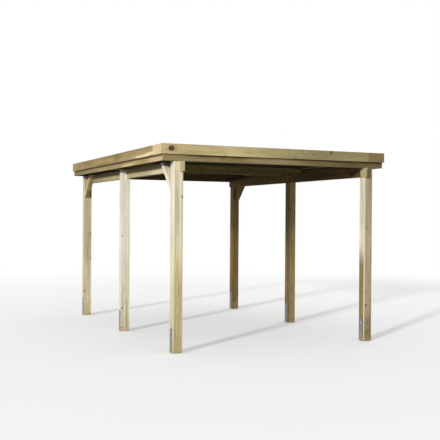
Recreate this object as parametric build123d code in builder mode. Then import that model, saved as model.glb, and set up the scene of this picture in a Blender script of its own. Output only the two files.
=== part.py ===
from build123d import *
import os

# A flat-roofed timber carport, open on all four sides. Six square posts in two rows stand in
# steel shoes and carry two purlins. Cross rafters lie on the purlins, two tiers of level fascia
# boards run round them, and inside the fascia profiled roof sheets fall slightly to the rear.
# Millimetres. X runs across, Y runs from the entrance to the rear, Z is up, the ground is Z 0.

# Posts and frame
POST_SIDE = 115
FRAME_WIDTH = 2750
BAY_PITCH = 2010
SEAT_HEIGHT = 2125
TIMBER_EDGE = 3

# Purlins, let into the inner side of the posts
PURLIN_THICK = 60
PURLIN_DEPTH = 120
PURLIN_PROUD = 15

# Rafters, across the top of the purlins, set lower towards the rear for the fall of the roof
RAFTER_THICK = 60
RAFTER_DEPTH = 120
RAFTER_COUNT = 3
ROOF_FALL = 32

# Knee braces at forty-five degrees; the front right corner is left open
BRACED_CORNERS = (("front", "left"), ("rear", "left"), ("rear", "right"))
BRACE_THICK = 70
BRACE_WIDTH = 70
BRACE_REACH = 355

# Fascia boards in two tiers, the upper one outside the lower one
BOARD_THICK = 20
BOARD_HEIGHT = 120
BOARD_EDGE = 2
BOARD_LAP = 45
EAVES_SIDE = 162
EAVES_END = 32

# Roof sheets with trapezoid ribs that run from front to rear
SHEET_THICK = 1.5
SHEET_COUNT = 3
SHEET_MARGIN = 6
RIB_PITCH = 76
RIB_HEIGHT = 18
RIB_CREST = 20
RIB_FLANK = 11
LAP_SPREAD = 2
LAP_LIFT = 2
LAP_EDGE = 5

# Post shoes, bent from flat steel
SHOE_THICK = 5
SHOE_WIDTH = 60
SHOE_HEIGHT = 290
SHOE_BEND = 3
SHOE_GAP = 0.3
BOLT_HOLE = 11
BOLT_FOOT = 95
BOLT_MARGIN = 50

SIDES = {"left": -1, "right": 1}
ROWS = {"front": -1, "middle": 0, "rear": 1}

# Places that follow from the sizes above
POST_X = FRAME_WIDTH / 2 - POST_SIDE / 2
PLATE_TOP = SEAT_HEIGHT + PURLIN_DEPTH
TONGUE = POST_SIDE + PURLIN_PROUD - PURLIN_THICK
PURLIN_X = FRAME_WIDTH / 2 - TONGUE - PURLIN_THICK / 2
ROW_SPAN = (len(ROWS) - 1) * BAY_PITCH
BOLT_HEIGHTS = (BOLT_FOOT, SHOE_HEIGHT - BOLT_MARGIN)
RAFTER_TOP = PLATE_TOP + RAFTER_DEPTH
ROOF_WIDTH = FRAME_WIDTH + 2 * EAVES_SIDE
ROOF_LENGTH = ROW_SPAN + POST_SIDE + 2 * EAVES_END
PURLIN_LENGTH = ROOF_LENGTH - 2 * BOARD_THICK
RAFTER_LENGTH = ROOF_WIDTH - 4 * BOARD_THICK
RAFTER_SPAN = ROOF_LENGTH - 4 * BOARD_THICK - RAFTER_THICK
UPPER_BOTTOM = PLATE_TOP + BOARD_HEIGHT - BOARD_LAP

os.makedirs("parts", exist_ok=True)


# Post shoes: a flat foot with two bent-up straps and two bolt holes through each strap
def make_shoe(side, row):
    inner = POST_SIDE / 2 + SHOE_GAP
    outer = inner + SHOE_THICK
    with BuildPart() as shoe:
        with Locations((side * POST_X, row * BAY_PITCH, 0)):
            Box(2 * outer, SHOE_WIDTH, SHOE_HEIGHT, align=(Align.CENTER, Align.CENTER, Align.MIN))
        bottom_edges = shoe.edges().filter_by(Axis.Y).group_by(Axis.Z)[0]
        fillet(bottom_edges, SHOE_BEND + SHOE_THICK)
        with BuildSketch(Plane.XZ.offset(-row * BAY_PITCH)) as hollow:
            with Locations((side * POST_X, SHOE_THICK)):
                Rectangle(2 * inner, SHOE_HEIGHT, align=(Align.CENTER, Align.MIN))
            fillet(hollow.vertices().group_by(Axis.Z)[0], SHOE_BEND)
        extrude(amount=SHOE_WIDTH, both=True, mode=Mode.SUBTRACT)
        with Locations(*[(side * POST_X, row * BAY_PITCH, height) for height in BOLT_HEIGHTS]):
            Cylinder(BOLT_HOLE / 2, 3 * outer, rotation=(0, 90, 0), mode=Mode.SUBTRACT)
    return shoe


# Posts: square timber with eased edges, and a seat for the purlin cut in the inner side
def make_post(side, row):
    with BuildPart() as post:
        with BuildSketch(Plane.XY.offset(SHOE_THICK)):
            with Locations((side * POST_X, row * BAY_PITCH)):
                RectangleRounded(POST_SIDE, POST_SIDE, TIMBER_EDGE)
        extrude(amount=PLATE_TOP - SHOE_THICK)
        chamfer(post.faces().sort_by(Axis.Z)[0].edges(), SHOE_BEND)
        with BuildSketch(Plane.XY.offset(SEAT_HEIGHT)):
            with Locations((side * (FRAME_WIDTH / 2 - TONGUE), row * BAY_PITCH)):
                toward_middle = (Align.MAX if side > 0 else Align.MIN, Align.CENTER)
                Rectangle(POST_SIDE, 2 * POST_SIDE, align=toward_middle)
        extrude(amount=2 * PURLIN_DEPTH, mode=Mode.SUBTRACT)
    return post


for row_name, row in ROWS.items():
    for side_name, side in SIDES.items():
        shoe = make_shoe(side, row)
        shoe.part.label = f"post_shoe_{row_name}_{side_name}"
        export_step(shoe.part, f"parts/post_shoe_{row_name}_{side_name}.step")
        post = make_post(side, row)
        post.part.label = f"post_{row_name}_{side_name}"
        export_step(post.part, f"parts/post_{row_name}_{side_name}.step")


# Purlins: one on each row of posts, their ends flush with the lower fascia boards
for side_name, side in SIDES.items():
    with BuildPart() as purlin:
        with BuildSketch(Plane.XZ):
            with Locations((side * PURLIN_X, SEAT_HEIGHT + PURLIN_DEPTH / 2)):
                RectangleRounded(PURLIN_THICK, PURLIN_DEPTH, TIMBER_EDGE)
        extrude(amount=PURLIN_LENGTH / 2, both=True)
    purlin.part.label = f"purlin_{side_name}"
    export_step(purlin.part, f"parts/purlin_{side_name}.step")


# Knee braces: cut at forty-five degrees, butted to the post and lapped on the purlin's outer face
BRACE_CUT = BRACE_WIDTH * 2**0.5
BRACE_START = ROW_SPAN / 2 - POST_SIDE / 2

for row_name, side_name in BRACED_CORNERS:
    row = ROWS[row_name]
    side = SIDES[side_name]
    with BuildPart() as brace:
        with BuildSketch(Plane.YZ.offset(side * (FRAME_WIDTH / 2 - TONGUE))):
            with BuildLine():
                Polyline(
                    (row * BRACE_START, PLATE_TOP - BRACE_REACH),
                    (row * (BRACE_START - BRACE_REACH), PLATE_TOP),
                    (row * (BRACE_START - BRACE_REACH + BRACE_CUT), PLATE_TOP),
                    (row * BRACE_START, PLATE_TOP - BRACE_REACH + BRACE_CUT),
                    close=True,
                )
            make_face()
        extrude(amount=BRACE_THICK * side, dir=(1, 0, 0))
    brace.part.label = f"knee_brace_{row_name}_{side_name}"
    export_step(brace.part, f"parts/knee_brace_{row_name}_{side_name}.step")


# Rafters: laid across both purlins, the end ones straight behind the end fascia boards. The
# lowered ones are notched over the purlins, so their ends rest on them all the same.
rafter_pitch = RAFTER_SPAN / (RAFTER_COUNT - 1)
rafter_fall = ROOF_FALL / (RAFTER_COUNT - 1)

for number in range(RAFTER_COUNT):
    rafter_y = number * rafter_pitch - RAFTER_SPAN / 2
    rafter_middle = PLATE_TOP - number * rafter_fall + RAFTER_DEPTH / 2
    with BuildPart() as rafter:
        with BuildSketch(Plane.YZ):
            with Locations((rafter_y, rafter_middle)):
                RectangleRounded(RAFTER_THICK, RAFTER_DEPTH, TIMBER_EDGE)
        extrude(amount=RAFTER_LENGTH / 2, both=True)
        if number > 0:
            with BuildSketch(Plane.XZ.offset(-rafter_y)):
                for side in SIDES.values():
                    outward = (Align.MIN if side > 0 else Align.MAX, Align.MAX)
                    with Locations((side * (PURLIN_X - PURLIN_THICK / 2), PLATE_TOP)):
                        Rectangle(RAFTER_LENGTH, RAFTER_DEPTH, align=outward)
            extrude(amount=RAFTER_THICK, both=True, mode=Mode.SUBTRACT)
    rafter.part.label = f"rafter_{number + 1}"
    export_step(rafter.part, f"parts/rafter_{number + 1}.step")


# Fascia boards: the front and rear boards cover the ends of the side boards
TIERS = {"upper": (0, UPPER_BOTTOM), "lower": (BOARD_THICK, PLATE_TOP)}

for tier, (inset, bottom) in TIERS.items():
    board_middle = bottom + BOARD_HEIGHT / 2

    for row_name, row in (("front", -1), ("rear", 1)):
        with BuildPart() as board:
            with BuildSketch(Plane.YZ):
                with Locations((row * (ROOF_LENGTH / 2 - inset - BOARD_THICK / 2), board_middle)):
                    RectangleRounded(BOARD_THICK, BOARD_HEIGHT, BOARD_EDGE)
            extrude(amount=ROOF_WIDTH / 2 - inset, both=True)
        board.part.label = f"fascia_{tier}_{row_name}"
        export_step(board.part, f"parts/fascia_{tier}_{row_name}.step")

    for side_name, side in SIDES.items():
        with BuildPart() as board:
            with BuildSketch(Plane.XZ):
                with Locations((side * (ROOF_WIDTH / 2 - inset - BOARD_THICK / 2), board_middle)):
                    RectangleRounded(BOARD_THICK, BOARD_HEIGHT, BOARD_EDGE)
            extrude(amount=ROOF_LENGTH / 2 - inset - BOARD_THICK, both=True)
        board.part.label = f"fascia_{tier}_{side_name}"
        export_step(board.part, f"parts/fascia_{tier}_{side_name}.step")


# Roof sheets: each later sheet lifts its first rib over the last rib of the sheet before it.
# They lie in a plane that falls with the rafters and just clears their rear top edges.
slope = ROOF_FALL / RAFTER_SPAN
sheet_base = RAFTER_TOP - ROOF_FALL / 2 + slope * RAFTER_THICK / 2
sheet_plane = Plane(origin=(0, 0, sheet_base), x_dir=(1, 0, 0), z_dir=(0, -1, slope))
field_width = ROOF_WIDTH - 2 * (2 * BOARD_THICK + SHEET_MARGIN)
sheet_length = ROOF_LENGTH - 2 * (2 * BOARD_THICK + SHEET_MARGIN)
foot_half = RIB_CREST / 2 + RIB_FLANK
steps = int((field_width / 2 - foot_half) / RIB_PITCH)
rib_places = [step * RIB_PITCH for step in range(-steps, steps + 1)]
share = (len(rib_places) - 1) / SHEET_COUNT


def rib_points(middle, lapped):
    spread = LAP_SPREAD if lapped else 0
    rise = RIB_HEIGHT + LAP_LIFT if lapped else RIB_HEIGHT
    foot = foot_half + spread
    crest = RIB_CREST / 2 + spread
    return [
        (middle - foot, 0),
        (middle - crest, rise),
        (middle + crest, rise),
        (middle + foot, 0),
    ]


def make_sheet(number):
    first = round(number * share)
    last = round((number + 1) * share)
    points = []
    for place in range(first, last + 1):
        points += rib_points(rib_places[place], number > 0 and place == first)
    if number == 0:
        points.insert(0, (-field_width / 2, 0))
    else:
        cut_back = RIB_FLANK * LAP_EDGE / (RIB_HEIGHT + LAP_LIFT)
        points[0] = (points[0][0] + cut_back, LAP_EDGE)
    if number == SHEET_COUNT - 1:
        points.append((field_width / 2, 0))
    else:
        points.pop()
    with BuildPart() as sheet:
        with BuildSketch(sheet_plane):
            with BuildLine():
                Polyline(*points)
                offset(amount=SHEET_THICK, side=Side.LEFT, kind=Kind.INTERSECTION)
            make_face()
        extrude(amount=sheet_length / 2, both=True)
    return sheet


for number in range(SHEET_COUNT):
    sheet = make_sheet(number)
    sheet.part.label = f"roof_sheet_{number + 1}"
    export_step(sheet.part, f"parts/roof_sheet_{number + 1}.step")
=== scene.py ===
# %% [markdown]
# # A timber carport
# A flat-roofed carport of pressure-treated pine: six square posts in steel shoes, two purlins,
# knee braces, rafters, a two-tier fascia and a ribbed roof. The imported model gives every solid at
# its real size. This lesson gives them their finishes, adds the bolts and screws, and lights and
# frames them. A finish can be painted on a flat picture or worked out in space. Here it is
# worked out in space, because sawn timber is a slice of a tree and its rings run right through.

import itertools
import math
from collections import namedtuple

import bpy
from mathutils import Euler, Matrix, Vector
from mathutils.bvhtree import BVHTree


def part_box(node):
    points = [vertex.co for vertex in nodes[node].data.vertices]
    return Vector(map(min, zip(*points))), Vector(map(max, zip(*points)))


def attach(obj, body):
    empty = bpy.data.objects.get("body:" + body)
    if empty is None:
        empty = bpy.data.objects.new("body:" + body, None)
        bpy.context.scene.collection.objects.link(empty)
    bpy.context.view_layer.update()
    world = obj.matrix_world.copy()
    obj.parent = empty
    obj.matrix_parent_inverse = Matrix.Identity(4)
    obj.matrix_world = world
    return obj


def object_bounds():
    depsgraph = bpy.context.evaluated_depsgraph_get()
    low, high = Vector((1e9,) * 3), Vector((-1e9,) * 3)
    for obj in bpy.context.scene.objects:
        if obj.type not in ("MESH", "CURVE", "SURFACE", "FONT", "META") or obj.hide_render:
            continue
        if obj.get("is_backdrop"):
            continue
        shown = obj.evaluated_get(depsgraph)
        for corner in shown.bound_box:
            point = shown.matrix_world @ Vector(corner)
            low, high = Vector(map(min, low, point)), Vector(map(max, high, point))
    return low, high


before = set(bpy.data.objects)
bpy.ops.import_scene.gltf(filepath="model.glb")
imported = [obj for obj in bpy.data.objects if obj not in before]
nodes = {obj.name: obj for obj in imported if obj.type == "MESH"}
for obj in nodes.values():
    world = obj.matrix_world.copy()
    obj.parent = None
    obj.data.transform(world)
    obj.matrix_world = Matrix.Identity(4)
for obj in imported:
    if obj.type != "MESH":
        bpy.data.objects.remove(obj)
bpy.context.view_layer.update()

# %% [markdown]
# ## A short way to write node trees
# A node tree is nodes and links. It can be drawn by hand in the editor, or written out. A few
# small helpers keep the written form short: one makes a node and fills its inputs, two make a
# Math node and a Vector Math node, and the rest measure a place, take it apart or put it
# together. They serve shaders and Geometry Nodes alike, and a formula then reads from top to
# bottom.

# %% Node helpers


def fill(tree, node, inputs):
    """Fills a node's inputs, each with a plain value or with a link from a socket."""
    for key, value in inputs.items():
        if isinstance(value, bpy.types.NodeSocket):
            tree.links.new(value, node.inputs[key])
        else:
            node.inputs[key].default_value = value


def add(tree, kind, inputs=None, **settings):
    """One node, with its settings made and its inputs filled."""
    node = tree.nodes.new(kind)
    for key, value in settings.items():
        setattr(node, key, value)
    fill(tree, node, inputs or {})
    return node


def calc(tree, operation, *terms, clamp=False):
    """A Math node's result, from sockets or plain numbers."""
    inputs = dict(enumerate(terms))
    return add(tree, "ShaderNodeMath", inputs, operation=operation, use_clamp=clamp).outputs[0]


def vector(tree, operation, *terms):
    """A Vector Math node's result, from sockets or plain triples."""
    return add(tree, "ShaderNodeVectorMath", dict(enumerate(terms)), operation=operation).outputs[0]


def length(tree, place):
    """How far a place is from zero."""
    return add(tree, "ShaderNodeVectorMath", {0: place}, operation="LENGTH").outputs["Value"]


def parts_of(tree, place):
    """The three numbers of a place."""
    return add(tree, "ShaderNodeSeparateXYZ", {0: place}).outputs


def place_of(tree, x=0.0, y=0.0, z=0.0):
    """A place from its three numbers."""
    return add(tree, "ShaderNodeCombineXYZ", {0: x, 1: y, 2: z}).outputs[0]


# %% [markdown]
# ## Masks and colours
# A finish is built up like paint. A noise or a ramp gives a mask, which is a number from 0 to 1
# at each point, and the mask says how much of a new colour covers the one below it. Noise that
# changes faster across than along is what makes grain, drips and streaks.

# %% Mask and colour helpers


def ramp(tree, value, low, high, start=0.0, end=1.0):
    """A smooth step: start below low, end above high."""
    inputs = {"Value": value, "From Min": low, "From Max": high, "To Min": start, "To Max": end}
    return add(tree, "ShaderNodeMapRange", inputs, interpolation_type="SMOOTHSTEP").outputs["Result"]


def noise(tree, place, scale, detail=2.0, rough=0.5):
    """Soft noise from 0 to 1 at a place."""
    inputs = {"Vector": place, "Scale": scale, "Detail": detail, "Roughness": rough}
    return add(tree, "ShaderNodeTexNoise", inputs).outputs["Fac"]


def drawn_out(tree, place, per_metre, detail=2.0, rough=0.5):
    """Noise that changes so many times per metre along X, Y and Z."""
    return noise(tree, vector(tree, "MULTIPLY", place, per_metre), 1.0, detail, rough)


def blend_colour(tree, amount, first, second, mode="MIX"):
    """Two colours mixed by an amount. A Mix node keeps its colour sockets at 6 and 7."""
    inputs = {0: amount, 6: first, 7: second}
    return add(tree, "ShaderNodeMix", inputs, data_type="RGBA", blend_type=mode).outputs[2]


def lay_over(tree, base, colour, mask, share, mode="MIX"):
    """A colour laid over the one below it where a mask says, by a share of the mask."""
    return blend_colour(tree, calc(tree, "MULTIPLY", mask, share), base, colour, mode)


# %% [markdown]
# ## Groups
# Several finishes need the same effects. Each effect is a node group, built once, with named
# inputs and outputs, and each material places it with its own values. A group puts out only
# colours, masks and heights: the shader itself stays in the material.

# %% Group helpers
COLOUR, NUMBER, PLACE = "NodeSocketColor", "NodeSocketFloat", "NodeSocketVector"


def new_group(name, inputs, outputs, kind="ShaderNodeTree"):
    """An empty group with named sockets; returns its tree, what it is given and its end node."""
    tree = bpy.data.node_groups.new(name, kind)
    for title, socket_kind, value in inputs:
        socket = tree.interface.new_socket(title, in_out="INPUT", socket_type=socket_kind)
        if value is not None:
            socket.default_value = value
    for title, socket_kind in outputs:
        tree.interface.new_socket(title, in_out="OUTPUT", socket_type=socket_kind)
    return tree, add(tree, "NodeGroupInput").outputs, add(tree, "NodeGroupOutput")


def place_group(tree, kind, inputs):
    """Places a group in a material with its inputs filled; returns what it puts out."""
    return add(tree, "ShaderNodeGroup", inputs, node_tree=kind).outputs


def seeded(tree, given):
    """The group's Place, moved by its Seed, so that every piece gets its own pattern."""
    seed = given["Seed"]
    return vector(tree, "ADD", given["Place"], place_of(tree, seed, seed, seed))


# %% [markdown]
# ## Weather
# Rain and dust change every material out of doors in the same three ways. Dust settles on faces
# that look up. Rain splashes the lowest part from the ground. Water runs down upright faces and
# leaves faint dark streaks. The group gives these three as masks, worked out from height and
# from the way that the face looks, and timber, steel and roofing use them alike.

# %% Weathering group
weather, given, result = new_group(
    "Weathering",
    [
        ("Place", PLACE, (0, 0, 0)),
        ("Facing", PLACE, (0, 0, 1)),
        ("Splash height", NUMBER, 0.3),
        ("Seed", NUMBER, 0.0),
    ],
    [("Dust", NUMBER), ("Splash", NUMBER), ("Runs", NUMBER)],
)
moved = seeded(weather, given)
upward = parts_of(weather, given["Facing"])[2]
patches = ramp(weather, noise(weather, moved, 7.0, 4.0, 0.6), 0.3, 0.7, 0.35, 1.0)
dust = calc(weather, "MULTIPLY", ramp(weather, upward, 0.3, 0.9), patches)

ragged = calc(weather, "MULTIPLY_ADD", noise(weather, moved, 16.0, 3.0), 0.3, -0.15)
above_ground = calc(weather, "ADD", parts_of(weather, given["Place"])[2], ragged)
splash = ramp(weather, above_ground, 0.0, given["Splash height"], 1.0, 0.0)

upright = calc(weather, "SUBTRACT", 1.0, calc(weather, "ABSOLUTE", upward))
drips = drawn_out(weather, moved, (38, 38, 0.9), 3.0, 0.6)
runs = calc(weather, "MULTIPLY", upright, ramp(weather, drips, 0.5, 0.75))
fill(weather, result, {"Dust": dust, "Splash": splash, "Runs": runs})
print("weathering nodes:", len(weather.nodes))

# %% [markdown]
# ## Marks
# Some things sit at one place only, such as a big knot, a board end of redder wood, a line of
# painted shade and dirt under a lap or a painted patch of sunlight. A mark is a soft ball that is
# stretched to its half sizes, with a ragged edge.
# Square turns the ball into a box, for a mark with straight edges. The mask is 1 inside the core
# and falls to 0 at the rim.

# %% Mark group
mark, given, result = new_group(
    "Mark",
    [
        ("Place", PLACE, (0, 0, 0)),
        ("Centre", PLACE, (0, 0, 0)),
        ("Half size", PLACE, (0.1, 0.1, 0.1)),
        ("Core", NUMBER, 0.6),
        ("Ragged", NUMBER, 0.2),
        ("Square", NUMBER, 0.0),
        ("Amount", NUMBER, 1.0),
    ],
    [("Mask", NUMBER)],
)
from_centre = vector(mark, "SUBTRACT", given["Place"], given["Centre"])
away = vector(mark, "DIVIDE", from_centre, given["Half size"])
ball = length(mark, away)
sides = parts_of(mark, vector(mark, "ABSOLUTE", away))
box = calc(mark, "MAXIMUM", calc(mark, "MAXIMUM", sides[0], sides[1]), sides[2])
rim = calc(mark, "MULTIPLY_ADD", calc(mark, "SUBTRACT", box, ball), given["Square"], ball)
roughened = calc(mark, "SUBTRACT", noise(mark, away, 2.6, 3.0, 0.6), 0.5)
rim = calc(mark, "ADD", rim, calc(mark, "MULTIPLY", roughened, given["Ragged"]))
inside = ramp(mark, rim, given["Core"], 1.0, 1.0, 0.0)
fill(mark, result, {"Mask": calc(mark, "MULTIPLY", inside, given["Amount"])})
print("mark nodes:", len(mark.nodes))

# %% [markdown]
# ## Sawn pine: the pith
# Pine grows a pale ring in spring and a dark one in summer, round a pith in the middle of the
# trunk. A post holds that pith inside it, and a board is cut some way out from it. So the group
# measures how far each point lies from the pith. The pith wanders a little along the trunk,
# which is what bends the lines on a board. All lengths are in metres, with the grain along Z.

# %% Timber group: distance from the pith
PITH_WANDER = 0.042

timber, given, result = new_group(
    "Sawn pine",
    [
        ("Place", PLACE, (0, 0, 0)),
        ("Pith", PLACE, (0, 0, 0)),
        ("Half size", PLACE, (0.05, 0.05, 1)),
        ("End grain", NUMBER, 0.0),
        ("Seed", NUMBER, 0.0),
        ("Heartwood", NUMBER, 0.2),
        ("Splits", NUMBER, 0.5),
        ("Sapwood colour", COLOUR, (0.6, 0.5, 0.3, 1)),
        ("Streak colour", COLOUR, (0.45, 0.35, 0.18, 1)),
        ("Heartwood colour", COLOUR, (0.36, 0.2, 0.1, 1)),
        ("Knot colour", COLOUR, (0.1, 0.045, 0.02, 1)),
    ],
    [("Color", COLOUR), ("Roughness", NUMBER), ("Height", NUMBER)],
)
moved = seeded(timber, given)
lengthwise = vector(timber, "MULTIPLY", moved, (0, 0, 1.3))
wander = add(timber, "ShaderNodeTexNoise", {"Vector": lengthwise, "Scale": 1.0}).outputs["Color"]
wander = vector(timber, "SUBTRACT", wander, (0.5, 0.5, 0.5))
wander = vector(timber, "MULTIPLY", wander, (PITH_WANDER, PITH_WANDER, 0))
from_pith = vector(timber, "SUBTRACT", vector(timber, "ADD", given["Place"], wander), given["Pith"])
across = vector(timber, "MULTIPLY", from_pith, (1, 1, 0))
reach = length(timber, across)
heading = parts_of(timber, vector(timber, "NORMALIZE", across))
print("nodes so far:", len(timber.nodes))

# %% [markdown]
# ## Sawn pine: knots
# Branches start at the pith too. A knot is a spike that points away from it, and it shows on two
# faces where it leaves by a corner. Counted round the pith and along it, one cell in eight holds
# a branch. The rings swing round it, and dark bark often rims it.

# %% Timber group: knots
KNOT_STEPS_PER_METRE = 13.0
KNOT_CHANCE = 0.13
KNOT_SIZE = 0.27

steps_along = calc(timber, "MULTIPLY", parts_of(timber, moved)[2], KNOT_STEPS_PER_METRE)
cell_place = place_of(timber, heading[0], heading[1], steps_along)
cell_inputs = {"Vector": cell_place, "Scale": 1.0, "Randomness": 0.65}
cells = add(timber, "ShaderNodeTexVoronoi", cell_inputs).outputs
chance = parts_of(timber, cells["Color"])
branch = calc(timber, "GREATER_THAN", chance[0], 1.0 - KNOT_CHANCE)
knot_size = calc(timber, "MULTIPLY_ADD", chance[1], KNOT_SIZE * 0.7, KNOT_SIZE * 0.45)
knot_near = calc(timber, "DIVIDE", cells["Distance"], knot_size)
off_rim = calc(timber, "ABSOLUTE", calc(timber, "SUBTRACT", knot_near, 1.0))
knot = calc(timber, "MULTIPLY", branch, ramp(timber, knot_near, 0.75, 1.0, 1.0, 0.0))
knot_rim = calc(timber, "MULTIPLY", branch, ramp(timber, off_rim, 0.0, 0.2, 1.0, 0.0))
knot_swirl = calc(timber, "MULTIPLY", branch, ramp(timber, knot_near, 0.6, 2.4, 1.0, 0.0))
print("nodes so far:", len(timber.nodes))

# %% [markdown]
# ## Sawn pine: rings and streaks
# The distance from the pith is cut into rings. Each ring starts with pale spring wood, darkens
# slowly into summer wood and ends sharply with the winter. Slow noise along the grain gives
# streaks and clouds of darker sapwood, and fast noise gives the fibres.

# %% Timber group: rings, streaks and fibres
RING_WIDTH = 0.0046

fine = drawn_out(timber, moved, (60, 60, 2.5), 3.0)
wobble = calc(timber, "MULTIPLY_ADD", fine, 0.004, calc(timber, "MULTIPLY", knot_swirl, 0.014))
ring_count = calc(timber, "DIVIDE", calc(timber, "ADD", reach, wobble), RING_WIDTH)
ring_part = calc(timber, "FRACT", ring_count)
winter_edge = ramp(timber, ring_part, 0.94, 1.0, 1.0, 0.0)
summer = calc(timber, "MULTIPLY", ramp(timber, ring_part, 0.45, 0.9), winter_edge)
streak = drawn_out(timber, moved, (26, 26, 1.1), 3.0, 0.6)
cloud = drawn_out(timber, moved, (5, 5, 1.6))
fibre = drawn_out(timber, moved, (420, 420, 14))
print("nodes so far:", len(timber.nodes))

# %% [markdown]
# ## Sawn pine: splits and arrises
# Dry timber splits along the grain, from the surface towards the pith, so a split keeps one
# direction round the pith and comes and goes along the length. The arrises, where two faces
# meet, are rubbed paler: there the point is near two faces at once.

# %% Timber group: splits and arrises
turn = calc(timber, "ARCTAN2", heading[1], heading[0])
split_line = drawn_out(timber, moved, (0, 0, 3.5))
split_turn = calc(timber, "MULTIPLY_ADD", split_line, 0.5, calc(timber, "MULTIPLY", turn, 1.5))
split_side = calc(timber, "ABSOLUTE", calc(timber, "SINE", split_turn))
split_gap = calc(timber, "MULTIPLY", split_side, reach)
split_here = ramp(timber, drawn_out(timber, moved, (0, 0, 2.2), 1.0), 0.45, 0.6)
split = calc(timber, "MULTIPLY", ramp(timber, split_gap, 0.0006, 0.0018, 1.0, 0.0), split_here)
split = calc(timber, "MULTIPLY", split, given["Splits"])

half_size = parts_of(timber, given["Half size"])
place_parts = parts_of(timber, given["Place"])
depth_x = calc(timber, "SUBTRACT", half_size[0], calc(timber, "ABSOLUTE", place_parts[0]))
depth_y = calc(timber, "SUBTRACT", half_size[1], calc(timber, "ABSOLUTE", place_parts[1]))
arris = ramp(timber, calc(timber, "MAXIMUM", depth_x, depth_y), 0.0015, 0.006, 1.0, 0.0)
arris = calc(timber, "MULTIPLY", arris, calc(timber, "MULTIPLY_ADD", streak, 0.8, 0.1))
print("nodes so far:", len(timber.nodes))

# %% [markdown]
# ## Sawn pine: colour and relief
# The masks are laid over each other in the order in which the tree and the saw made them: sapwood
# with its streaks, heartwood, the dark summer rings, knots, rubbed arrises, end grain and splits.
# Summer wood and knots stand a little proud, because the soft spring wood wears away first.

# %% Timber group: colour and relief
BARK_RIM = (0.035, 0.018, 0.01, 1)
RUBBED_ARRIS = (0.75, 0.66, 0.46, 1)
OPEN_END = (0.2, 0.13, 0.07, 1)
SPLIT_SHADE = (0.03, 0.02, 0.012, 1)

streaked = ramp(timber, streak, 0.35, 0.72)
base = blend_colour(timber, streaked, given["Sapwood colour"], given["Streak colour"])
heart_edge = calc(timber, "MULTIPLY_ADD", cloud, 0.06, calc(timber, "SUBTRACT", reach, 0.03))
heart_edge = ramp(timber, heart_edge, 0.02, 0.05, 1.0, 0.0)
heart = calc(timber, "MULTIPLY", heart_edge, given["Heartwood"])
base = blend_colour(timber, heart, base, given["Heartwood colour"])
base = lay_over(timber, base, given["Streak colour"], summer, 0.42, "MULTIPLY")
fibre_tone = calc(timber, "MULTIPLY_ADD", fibre, 0.22, 0.89)
tone = calc(timber, "MULTIPLY", ramp(timber, cloud, 0.3, 0.7, 0.86, 1.08), fibre_tone)
tone = calc(timber, "MULTIPLY", tone, calc(timber, "MULTIPLY_ADD", knot_swirl, -0.22, 1.0))
toned = {0: base, "Scale": tone}
base = add(timber, "ShaderNodeVectorMath", toned, operation="SCALE").outputs[0]
base = lay_over(timber, base, given["Knot colour"], knot, 0.82)
base = lay_over(timber, base, BARK_RIM, knot_rim, 0.75)
base = lay_over(timber, base, RUBBED_ARRIS, arris, 0.3)
base = lay_over(timber, base, OPEN_END, given["End grain"], 0.35)
base = lay_over(timber, base, SPLIT_SHADE, split, 0.9)

rough = calc(timber, "MULTIPLY_ADD", summer, -0.1, 0.74)
rough = calc(timber, "MULTIPLY_ADD", knot, -0.22, rough)
height = calc(timber, "MULTIPLY_ADD", fibre, 0.35, calc(timber, "MULTIPLY", summer, 0.3))
height = calc(timber, "MULTIPLY_ADD", knot, 0.35, height)
height = calc(timber, "MULTIPLY_ADD", split, -2.5, height)
fill(timber, result, {"Color": base, "Roughness": rough, "Height": height})
print("timber group nodes:", len(timber.nodes))

# %% [markdown]
# ## Woods and marks
# A wood is four colours: sapwood, its streaks, heartwood and knots. A mark is a place, its half
# sizes and a colour, and how it is laid: mixed in, as a knot, a rubbed edge or painted light is, or
# multiplied, as a stain or painted shade is, so that the grain shows through. A named tuple for
# each keeps the tables plain.

# %% Woods and marks
Wood = namedtuple("Wood", "sapwood streak heartwood knot")
Mark = namedtuple(
    "Mark", "centre half colour amount core ragged mode square", defaults=(0.6, 0.2, "MIX", 0.0)
)


def stain_and_shade(centre, half, colour, core=0.5, ragged=0.2, amount=1.0, square=0.0):
    """A mark that darkens what lies below it and lets the grain show: a stain, or painted shade."""
    return Mark(centre, half, colour, amount, core, ragged, "MULTIPLY", square)


# %% Material helpers
SPLASH_HEIGHT = 0.3


def lay_marks(tree, coords, base, marks):
    """Lays each mark over the colour below it."""
    for spot in marks:
        inputs = {
            "Place": coords["Object"], "Centre": spot.centre, "Half size": spot.half,
            "Core": spot.core, "Ragged": spot.ragged, "Square": spot.square, "Amount": spot.amount,
        }
        mask = place_group(tree, mark, inputs)["Mask"]
        base = blend_colour(tree, mask, base, (*spot.colour, 1), spot.mode)
    return base


def new_finish(name):
    """A material with its tree, its shader and its own coordinates."""
    material = bpy.data.materials.new(name)
    material.use_nodes = True
    tree = material.node_tree
    return material, tree, tree.nodes["Principled BSDF"], add(tree, "ShaderNodeTexCoord").outputs


def set_finish(piece, material):
    """Puts one material in every slot of a piece."""
    slots = piece.data.materials
    for index in range(len(slots)):
        slots[index] = material
    if not slots:
        slots.append(material)


def weather_masks(tree, coords, seed, splash_height=SPLASH_HEIGHT):
    """The Weathering group placed in a material."""
    inputs = {
        "Place": coords["Object"], "Facing": coords["Normal"],
        "Splash height": splash_height, "Seed": seed,
    }
    return place_group(tree, weather, inputs)


def bump(tree, height, strength, depth):
    """A normal bent by a height, where a height of 1 counts as depth metres."""
    inputs = {"Height": height, "Strength": strength, "Distance": depth}
    return add(tree, "ShaderNodeBump", inputs).outputs[0]
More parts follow.
